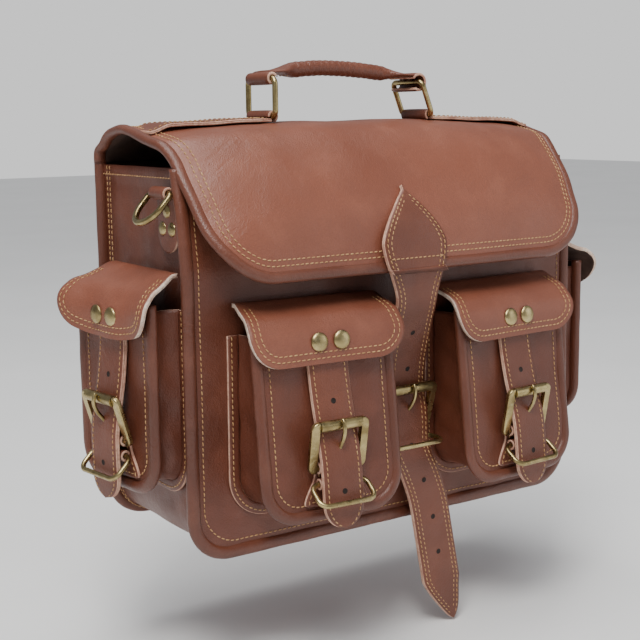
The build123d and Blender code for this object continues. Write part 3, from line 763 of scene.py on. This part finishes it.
def loop_band(name, centre, across, out, up, radius, thick, width, start, end, gap=0.0):
    """Leather folded round a bar, from angle start to end, measured from out towards up.

    gap is left open in its middle for a prong.
    """
    made = []
    spans = [(-width / 2, width / 2)] if not gap else [(-width / 2, -gap / 2), (gap / 2, width / 2)]
    for part, (a, b) in enumerate(spans):
        spine = []
        for k in range(25):
            angle = math.radians(lerp(start, end, k / 24))
            ray = out * math.cos(angle) + up * math.sin(angle)
            spine.append((centre + ray * radius * MM + across * (a + b) / 2 * MM, across, ray, (b - a) / 2))
        made.append(strip(f"{name}_{part}", *zip(*spine), thick, STRAP, 0.2, 1, 6))
    return made


def top_straps():
    """Stitched straps across the hump from each end, folded round the handle's rings."""
    middle = -joints["left_handle_ring_swing"]["pos_m"][1] / MM
    on_hump = [k for k, p in enumerate(flap_profile) if p.y > FLAP_TOP - 20]
    s0 = min(on_hump, key=lambda k: abs(flap_profile[k].x - middle)) * FLAP_STEP
    stitched = Thread("handle_strap_stitching")
    for side, sign in (("left", -1), ("right", 1)):
        bar = Vector(joints[f"{side}_handle_ring_swing"]["pos_m"])
        inner, outer = abs(bar.x) / MM + 1.0, 172.0
        spine = []
        for k in range(47):
            x = lerp(inner, outer, k / 46)
            point, normal = flap_at(s0, sign * x)
            spine.append((point + normal * (0.2 - 3.2 * smooth((x - 156) / 14)) * MM, Vector((0, -1, 0)),
                          normal, lerp(15.5, 19.0, smooth((x - inner - 4) / 12))))
        centres, sides, outs, halves = zip(*spine)
        made = strip(f"{side}_handle_strap", centres, sides, outs, halves, 3.0, STRAP, 0.6, 2, 12)
        place(made, "main_flap", "strap_leather")
        for edge in (-1, 1):
            stitched.row([c + (s * edge * (h - 3.2) + o * 2.9) * MM for c, s, o, h in spine], outs)
        across_line = [centres[4] + (sides[4] * t + outs[4] * 3.0) * MM for t in range(-11, 12)]
        stitched.row(across_line, outs[4])
        for loop in loop_band(f"{side}_ring_loop", bar, Vector((0, -1, 0)), Vector((0, 0, 1)),
                              Vector((sign, 0, 0)), RING_LOOP_R, LOOP_WALL, LOOP_W, -150, 95):
            place(loop, "main_flap", "strap_leather")
    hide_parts("handle_straps")
    place(stitched.build(), "main_flap", "strap_leather")


def handle():
    """Rolled, ribbed leather grip with flattened ends folded round the rings' upper bars."""
    left = Vector(joints["handle_grip_pivot"]["pos_m"])
    right_low, right_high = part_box("right_handle_ring")
    right = Vector((right_low.x + 0.0021, left.y, right_high.z - 0.0022))
    line = [left + Vector((0.002, 0, 0.0045)), left + Vector((0.016, 0, 0.0055)),
            left + Vector((0.045, 0, 0.0080)), left.lerp(right, 0.5) + Vector((0, 0, 0.0090)),
            right + Vector((-0.045, 0, 0.0088)), right + Vector((-0.018, 0, 0.0060)),
            right + Vector((-0.003, 0, 0.0050))]
    path = through(line, 0.0011)
    spine = []
    for k, p in enumerate(path):
        near = min(k, len(path) - 1 - k) * 1.1
        flat = 1 - smooth((near - 6) / 20)
        rib = (1 - flat) * (0.45 * abs(math.sin(k * 1.1 * math.pi / 5.2)) + 0.25 * wobble(k, 0, 4, 0.3))
        side = Vector((0, -1, 0))
        spine.append((p, side, side.cross(tangent(path, k)).normalized() * -1,
                      lerp(5.6 + rib, 15.4, flat), lerp(5.4 + rib, 1.5, flat)))
    centres, sides, outs, wide, tall = zip(*spine)
    grip = tube("handle_grip_leather", centres, sides, outs, wide, tall, [strap_leather], segments=24)
    place(grip, "handle_grip", "strap_leather", "handle_grip")
    seam = Thread("handle_stitching")
    # the right loop is the linkage's open pivot, so it is loose on its ring
    for label, bar, inwards, fit in (("left", left, 1, LOOP_FIT), ("right", right, -1, 2.9)):
        for loop in loop_band(f"grip_loop_{label}", bar, Vector((0, -1, 0)), Vector((0, 0, 1)),
                              Vector((-inwards, 0, 0)), RING_WIRE_R + fit, 2.2, LOOP_W, -60, 215):
            place(loop, "handle_grip", "strap_leather")
    for near in (14, len(path) - 15):
        row = [centres[near] + (sides[near] * t + outs[near] * (tall[near] + THREAD_LIFT)) * MM
               for t in range(-9, 10)]
        seam.row(row, outs[near])
    place(seam.build(), "handle_grip", "strap_leather")


# ---- straps and buckles
def punched(name, holes, body, size=1.0):
    """Punched holes in a strap: a shallow pit painted dark for the shade inside a hole, with a rounded rim at
    each (point, normal, across).
    """
    verts, faces, marks, n = [], [], [], 20
    for point, out, across in holes:
        up = out.cross(across).normalized()
        base = len(verts)
        for radius, lift in ((2.3, 0.02), (2.0, 0.16), (1.65, 0.1), (1.45, -0.01)):
            for k in range(n):
                a = 2 * math.pi * k / n
                ring = across * math.cos(a) + up * math.sin(a)
                verts.append(point + (ring * radius * size + out * lift) * MM)
        verts.append(point - out * 0.02 * MM)
        faces += ring_faces(4, n, base)
        faces += [(base + 3 * n + k, base + 3 * n + (k + 1) % n, base + 4 * n) for k in range(n)]
        # the pit's inner rings and floor take the painted hole shade
        marks += [0] * n + [1] * (3 * n)
    return place(mesh_object(name, verts, faces, [strap_leather, painted_hole_shade], marks), body, "strap_leather")


def hanging_strap(name, surface, profile, half_at, centre_at, body, node, hole_ups, rows_in, cross=()):
    """A two-layer strap over a surface. profile is (up, out) of its outer side from its head to its tip."""
    line = through(profile, 1.5)
    spine = []
    for k, p in enumerate(line):
        out = surface.turn((0, *outward(line, k)))
        spine.append((surface.at(centre_at(p.x), p.x, p.y) - out * STRAP_T * MM, surface.x, out,
                      max(half_at(p.x), 0.6)))
    made = strip(name, *zip(*spine), STRAP_T, STRAP, 0.7, 2, 12)
    place(made, body, "strap_leather", node)
    stitched = Thread(f"{name}_stitching")
    for inset in rows_in:
        for edge in (-1, 1):
            row = [(c + (s * edge * (h - inset) + o * (STRAP_T - 0.3)) * MM, o)
                   for c, s, o, h in spine if h > inset + 1.5]
            stitched.row([p for p, _ in row], [o for _, o in row], 3.8, 2.8, 0.44)
    for up in cross:
        c, s, o, h = spine[nearest(line, up)]
        row = [c + (s * ((h - 3) * t / 12) + o * (STRAP_T + 0.05)) * MM for t in range(-12, 13)]
        stitched.row(row, o)
    place(stitched.build(), body, "strap_leather")
    holes = []
    for up in hole_ups:
        c, s, o, _ = spine[nearest(line, up)]
        holes.append((c + o * (STRAP_T + 0.03) * MM, o, s))
    punched(f"{name}_holes", holes, body)


def through_buckle(heel_up, slack):
    """The roller's height, and how far out a strap's outer side is under the roller and over the heel bar."""
    over_heel = HEEL_OUT + HEEL_BAR_R + LOOP_FIT + LOOP_WALL + slack + STRAP_T
    roller_up = heel_up + BUCKLE_LEN * math.cos(BUCKLE_TILT)
    return roller_up, HEEL_OUT + BUCKLE_LEN * math.sin(BUCKLE_TILT) - ROLLER_R - 0.4, over_heel


def pointed(half, tip, length):
    """Half width of a strap that narrows to a rounded tip."""
    def half_at(up):
        t = min(max((up - tip) / length, 0.0), 1.0)
        return half * math.sqrt(1 - (1 - t) ** 2) if t < 1 else half
    return half_at


def chape(name, surface, strap_w, heel_up, foot_up, foot_w):
    """Flared tab sewn under a buckle, folded round its heel bar, with a second loop for the keeper."""
    spine = []
    for k in range(25):
        up = lerp(foot_up, heel_up - 3, k / 24)
        round_end = math.sqrt(max(0.0, 1 - max(0.0, 1 - k / 2.5) ** 2)) if k < 3 else 1.0
        half = lerp(foot_w / 2, strap_w / 2, smooth(k / 24)) * lerp(0.86, 1, round_end)
        spine.append((surface.at(0, up, 0.1), surface.x, surface.z, half))
    centres, sides, outs, halves = zip(*spine)
    tab = strip(f"{name}_chape", centres, sides, outs, halves, 2.4, STRAP, 0.4, 1, 10)
    place(tab, "bag", "strap_leather")
    stitched = Thread(f"{name}_chape_stitching")
    for edge in (-1, 1):
        stitched.row([c + (s * edge * (h - 3) + o * 2.4) * MM for c, s, o, h in spine[1:]], outs[1:])
    foot = [surface.at(t * (foot_w / 2 - 5) / 10, foot_up + 3, 2.5) for t in range(-10, 11)]
    stitched.row(foot, surface.z)
    place(stitched.build(), "bag", "strap_leather")
    for label, up, bar, gap in (("heel", heel_up, HEEL_BAR_R, PRONG_GAP),
                                ("keeper", heel_up - KEEPER_DROP, KEEPER_BAR_R, 0.0)):
        for loop in loop_band(f"{name}_{label}_loop", surface.at(0, up, HEEL_OUT), surface.x, surface.z,
                              surface.y, bar + LOOP_FIT, LOOP_WALL, strap_w - 1, -165, 165, gap):
            place(loop, "bag", "strap_leather")
    return tab


# ---- pockets
# heights on a pocket: heel bar, flap's edge, rivets and the flap's root
HEEL_UP = 37.0
FLAP_EDGE_UP = 107.0
RIVET_UP = 122.0
FOLD_UP = 150.0
POCKET_INSET = 5.5       # walls inside the face's outline
SEEDS = {"left_front": 11, "right_front": 23, "left_side": 37, "right_side": 51}


def pocket(name, side, is_front, width):
    face = buckle_surface(f"{name}_pocket", HEEL_UP)
    s = -1 if side == "left" else 1
    wall_n = Vector((0, -1, 0)) if is_front else Vector((s, 0, 0))
    wall_at = DEPTH * MM if is_front else (WIDTH / 2 - GUSSET_INSET) * MM

    def on_wall(x, y, lift=0.0):
        """The point of the sewn surface behind a point of the pocket's face."""
        p = face.at(x, y)
        return p + wall_n * (wall_at - p.dot(wall_n) + lift * MM)

    def depth(x, y):
        """Distance from the face back to the sewn surface, along the face's normal."""
        p = face.at(x, y)
        return (p.dot(wall_n) - wall_at) / MM / face.z.dot(wall_n)

    seed = SEEDS[name]
    stitched = Thread(f"{name}_pocket_stitching")

    # walls with soft creases
    inset = POCKET_INSET
    path = u_path(width - 2 * inset, inset, POCKET_H - 6, POCKET_R - inset, 3.0)
    rows = []
    for k, p in enumerate(path):
        n = outward(path, k)
        foot, rim = on_wall(p.x, p.y, 1.0), face.at(p.x, p.y, -1.5)
        row = []
        for j in range(17):
            v = j / 16
            belly = -2.4 * math.sin(math.pi * v) + 1.1 * wobble(p.x, p.y, v * 40 + seed, 0.05)
            belly += 0.8 * math.sin(k * 0.55 + seed) * math.sin(math.pi * v) ** 2
            row.append(foot.lerp(rim, v) + face.turn((n.x, n.y, 0)) * belly * MM)
        rows.append(row)
    walls = sheet(f"{name}_pocket_wall", flip(grid_normals(rows)), 2.0, BODY)
    place(walls, "bag", "leather", f"{name}_pocket_gusset")

    # the walls' turned-out foot, sewn to the bag
    spine = []
    foot_path = u_path(width - 2 * inset + 8, inset - 4, POCKET_H - 6, POCKET_R - inset + 4, 3.0)
    for k, p in enumerate(foot_path):
        flat = face.turn((*outward(foot_path, k), 0))
        spine.append((on_wall(p.x, p.y, 0.1), (flat - wall_n * flat.dot(wall_n)).normalized(), wall_n, 4.2))
    place(strip(f"{name}_pocket_foot", *zip(*spine), 2.2, BODY, 0.3, 1, 4), "bag", "leather")
    stitched.row([c + (q * 1.2 + wall_n * 2.3) * MM for c, q, _, _ in spine], wall_n)

    # face with its rolled edge
    outline = closed_pouch(width - 8, 4, POCKET_H - 2, POCKET_R - 4)

    def face_height(x, y):
        off = smooth((abs(x) - 22) / 16)
        return off * (0.9 + 0.8 * wobble(x, y, seed, 0.035)) + 0.2 * wobble(x, y, seed, 0.02)

    made = star_plate(f"{name}_pocket_front", outline, face_height, LEATHER, face.at, BODY, 22)
    place(made, "bag", "leather", f"{name}_pocket_face")
    path = u_path(width - 9, 4.5, POCKET_H - 1, POCKET_R - 4.5, 2.5)
    spine = []
    for k, p in enumerate(path):
        swell = 1 + 0.08 * wobble(p.x, p.y, seed, 0.06)
        spine.append((face.at(p.x, p.y, -0.8), face.turn((*outward(path, k), 0)), face.z,
                      4.4 * swell, 3.7 * swell))
    place(tube(f"{name}_pocket_rolled_edge", *zip(*spine), [rolled_leather]), "bag", "leather")
    row = u_path(width - 24, 12, POCKET_H - 4, POCKET_R - 10, 2.5)
    stitched.row([face.at(p.x, p.y, face_height(p.x, p.y) + THREAD_LIFT) for p in row], face.z)
    place(stitched.build(), "bag", "leather")
    pocket_flap(name, face, depth, on_wall, width, is_front, seed)
    pocket_strap(name, face)
    chape(f"{name}_pocket", face, STRAP_W, HEEL_UP, foot_up=11, foot_w=50)


def pocket_flap(name, face, depth, on_wall, width, is_front, seed):
    """Cut-edged flap from its seam on the bag, over the mouth and down over the face."""
    root = depth(0, FOLD_UP)
    lift = STRAP_T + 1.5 + FLAP_T
    profile = through([(FOLD_UP + 2, -root + 3.4), (FOLD_UP + 1.5, -root + 9), (FOLD_UP - 2, -root * 0.45),
                       (FOLD_UP - 9, 0.5), (POCKET_H, 6.0), (RIVET_UP + 3, lift - 0.3),
                       (FLAP_EDGE_UP + 8, lift), (FLAP_EDGE_UP, lift)], 1.0)
    total = len(profile) - 1
    half = width / 2 + 4
    corner = 22.0 if is_front else 18.0

    def at(along, x):
        """Point and normal of the flap's outer side, along its profile in mm and x across."""
        along = min(max(along, 0.0), total)
        k = min(int(along), len(profile) - 2)
        p = profile[k].lerp(profile[k + 1], along - k)
        t = tangent(profile, k, 2)
        n = Vector((t.y, -t.x))
        free = smooth((along - total * 0.3) / (total * 0.6))
        side = x / half
        d = 0.9 * wobble(x, along, seed, 0.03) * free
        if is_front:
            d += free * (1.4 * side ** 4 + 0.8 * math.sin(side * 4 + seed))
            up = 0.0
        else:
            rear = -side
            d += free * (5.5 * smooth((rear - 0.15) / 0.8) + 2.5 * smooth((side - 0.45) / 0.5)
                         + 1.4 * math.sin(side * 6.0 + 0.8))
            up = free * (9.0 * smooth((rear - 0.3) / 0.8) + 5.0 * smooth((side - 0.3) / 0.7))
        tilt = -depth(x, FOLD_UP) + root
        out = p.y + n.y * d + tilt * (1 - smooth(along / (total * 0.55)))
        return face.at(x, p.x + n.x * d + up, out), face.turn((0, n.x, n.y))

    def rows(inset):
        end, r = total - inset, corner - inset
        straight = end - r
        made = [(straight * k / 26, half - inset - 3.0 * (1 - k / 26)) for k in range(27)]
        for k in range(1, 13):
            a = math.radians(90 * k / 12)
            made.append((straight + r * math.sin(a), half - inset - r * (1 - math.cos(a))))
        return made

    grid = [[at(v, h * (-1 + 2 * j / 48)) for j in range(49)] for v, h in rows(0)]
    flap = sheet(f"{name}_pocket_flap_leather", true_normals(grid), FLAP_T - 0.5, FLAP)
    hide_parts(f"{name}_pocket_flap")
    stitched = Thread(f"{name}_pocket_flap_stitching")
    for inset in (4.0, 8.0):
        edge = free_edge([(v, h) for v, h in rows(inset) if v > 12], 30, 2.0)
        stitched.on([at(p.x, p.y) for p in edge])
    start = on_wall(0, FOLD_UP)
    for piece in (flap, stitched.build()):
        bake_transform(piece)
        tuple(start)


def pocket_strap(name, face):
    roller_up, under_roller, over_heel = through_buckle(HEEL_UP, 0.3)
    lift = STRAP_T + 0.8
    profile = [(RIVET_UP + 4, lift - 0.4), (RIVET_UP - 6, lift), (FLAP_EDGE_UP - 6, lift + 0.1),
               (roller_up + 14, (lift + under_roller) / 2), (roller_up, under_roller),
               (HEEL_UP + 12, (under_roller + over_heel) / 2 + 1.0), (HEEL_UP, over_heel + 0.1),
               (HEEL_UP - 20, over_heel), (-5, over_heel - 0.4)]
    hanging_strap(f"{name}_pocket_strap_leather", face, profile, pointed(STRAP_W / 2, -5, 17),
                  lambda up: 0.0, f"{name}_pocket_flap", f"{name}_pocket_strap",
                  [HEEL_UP - 17, HEEL_UP + 44], (3.2,))


# ---- centre strap
def centre_strap():
    """The closing strap: leaf-shaped head on the flap, and a long tail that hangs aside."""
    heel = 74.0
    surface = buckle_surface("main", heel)
    roller_up, under_roller, over_heel = through_buckle(heel, 0.4)
    low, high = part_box("centre_strap")
    tip = (low.z - bag.origin.z) / MM
    leaf_top = (high.z - bag.origin.z) / MM
    widest, leaf_half, half = 213.0, 28.0, CENTRE_W / 2
    shoulder = tip + 34
    bend = heel - 6

    # the head follows the flap's outer side
    head = []
    for k, p in enumerate(flap_profile):
        if p.x > 130 and FLAP_LOW - 1 < p.y < leaf_top + 1:
            point, normal = flap_at(k * FLAP_STEP, 3.0)
            spot = point + normal * (STRAP_T + 0.5) * MM
            head.append(((spot.z - bag.origin.z) / MM, -spot.y / MM - DEPTH))
    head = head[::5] + [head[-1]]
    profile = head + [(FLAP_LOW - 22, 36), (FLAP_LOW - 45, 25), (roller_up + 20, 13.5),
                      (roller_up, under_roller), (heel + 12, (under_roller + over_heel) / 2 + 1.0),
                      (heel, over_heel), (heel - 25, over_heel), (0, over_heel + 1), (tip, over_heel + 3)]

    def half_at(up):
        if up >= widest:
            t = min((up - widest) / (leaf_top - widest), 1.0)
            return leaf_half * (1 - t ** 1.5)
        if up > widest - 44:
            return lerp(half, leaf_half, smooth((up - widest + 44) / 44))
        if up > shoulder:
            return half
        t = (up - tip) / (shoulder - tip)
        return half * max(0.0, t) ** 0.62

    def centre_at(up):
        below = max(bend - up, 0.0)
        curl = 5.0 * smooth((shoulder - up) / (shoulder - tip))
        aside = 9.0 * smooth(below / 60) - 13.0 * smooth((up - 95) / 110)
        return below * math.tan(math.radians(10)) * smooth(below / 30) + curl + aside

    hanging_strap("centre_strap_leather", surface, profile, half_at, centre_at, "main_flap", "centre_strap",
                  [heel - 14 - 29 * k for k in range(4)] + [heel + 44, heel + 73], (2.7, 6.0),
                  cross=[FLAP_LOW + 9])
    tab = chape("main", surface, CENTRE_W, heel, foot_up=32, foot_w=44)
    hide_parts("buckle_chapes")


# ---- side rings
def side_tabs():
    """Riveted leather tabs that hold the side rings."""
    for side, s in (("left", -1), ("right", 1)):
        bar = Vector(joints[f"{side}_d_ring_swing"]["pos_m"])
        wall = s * (WIDTH / 2 - GUSSET_INSET)
        surface = Surface((wall * MM, bar.y, bar.z), (0, s, 0), (s, 0, 0))
        spine = []
        for k in range(31):
            up = lerp(3, -40, k / 30)
            round_end = min((up + 40) / 13, 1.0)
            half = max(14.0 * math.sqrt(max(0.0, 1 - (1 - round_end) ** 2)), 0.8)
            spine.append((surface.at(0, up, 0.1), surface.x, surface.z, half))
        tab = strip(f"{side}_ring_tab", *zip(*spine), 2.3, STRAP, 0.4, 1, 8)
        place(tab, "bag", "strap_leather")
        for loop in loop_band(f"{side}_ring_fold", bar, surface.x, surface.z, surface.y, RING_LOOP_R,
                              LOOP_WALL, 22.0, -160, 170):
            place(loop, "bag", "strap_leather")
    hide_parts("d_ring_tabs")


# ---- metal and boards
def metal():
    names = ["mount_eyelets", "body_rivets"]
    names += [n for n in frame["nodes"] if "buckle_" in n and n != "buckle_chapes"]
    names += [n for n in frame["nodes"] if n.endswith(("keeper", "_ring", "_rivets"))]
    for n in dict.fromkeys(names):
        dress(frame["nodes"][n], brass)
    for n in ("base_board", "back_board"):
        dress(frame["nodes"][n], board)


def dress(node, material):
    if not node.material_slots:
        node.data.materials.append(material)
    for slot in node.material_slots:
        slot.link = "OBJECT"
        slot.material = material


# ---- stage
def stage():
    floor_z = cad_box[0][2] - 0.002
    bpy.ops.mesh.primitive_plane_add(size=14, location=(0, 0, floor_z))
    floor = bpy.context.object
    floor.name = "floor"
    n = Nodes("pale_floor")
    colour = n.mix(n.ramp(n.noise(3, 3), 0.3, 0.7), (0.84, 0.84, 0.83), (0.88, 0.88, 0.87))
    roughness = n.ramp(n.noise(9), 0.3, 0.7, 0.6, 0.7)
    floor.data.materials.append(n.finish(colour, roughness, n.bump(n.noise(30), 0.0004, 0.2)))
    world = bpy.data.worlds.new("studio")
    world.use_nodes = True
    tree = world.node_tree
    dim = tree.nodes["Background"]
    dim.inputs[0].default_value, dim.inputs[1].default_value = (0.93, 0.95, 1.0, 1), 0.32
    bright = tree.nodes.new("ShaderNodeBackground")
    bright.inputs[0].default_value, bright.inputs[1].default_value = (0.93, 0.93, 0.93, 1), 1.0
    seen = tree.nodes.new("ShaderNodeLightPath")
    both = tree.nodes.new("ShaderNodeMixShader")
    tree.links.new(seen.outputs["Is Camera Ray"], both.inputs[0])
    tree.links.new(dim.outputs[0], both.inputs[1])
    tree.links.new(bright.outputs[0], both.inputs[2])
    tree.links.new(both.outputs[0], tree.nodes["World Output"].inputs["Surface"])
    bpy.context.scene.world = world
    sky = bpy.data.lights.new("even", "SUN")
    sky.energy, sky.angle = 1.3, math.radians(40)
    add(sky).rotation_euler = (math.radians(22), math.radians(-18), 0)
    for name, spot, aim, size, power, tint in (
            ("key", (-0.8, -0.9, 1.6), (0, -0.06, 0.05), 0.6, 22, (1.0, 0.98, 0.95)),
            ("top", (-0.1, 0.1, 1.8), (0, -0.06, 0.1), 0.9, 17, (1.0, 1.0, 1.0)),
            ("fill", (1.3, -1.4, 0.5), (0, -0.06, 0.0), 1.2, 6, (0.96, 0.98, 1.0))):
        light = bpy.data.lights.new(name, "AREA")
        light.size, light.energy, light.color = size, power, tint
        lamp = add(light)
        lamp.location = spot
        lamp.rotation_euler = (Vector(aim) - Vector(spot)).to_track_quat("-Z", "Y").to_euler()


def camera():
    made = bpy.data.cameras.new("view")
    made.lens, made.sensor_width = 69.64, 36.0
    made.clip_start = 0.01
    eye = add(made)
    right, up = Vector((0.826, -0.563, -0.011)), Vector((0.101, 0.129, 0.986))
    back = Vector((-0.554, -0.817, 0.164))
    turn = Matrix((right, up, back)).transposed().to_4x4()
    eye.matrix_world = Matrix.Translation((-0.5506, -0.8425, 0.152)) @ turn
    bpy.context.scene.camera = eye


panels()
gusset()
main_flap()
top_straps()
handle()
for side in ("left", "right"):
    pocket(f"{side}_front", side, True, 112.0)
    pocket(f"{side}_side", side, False, 92.0)
centre_strap()
side_tabs()
place(body_thread.build(), "bag", "leather")
metal()
stage()
camera()
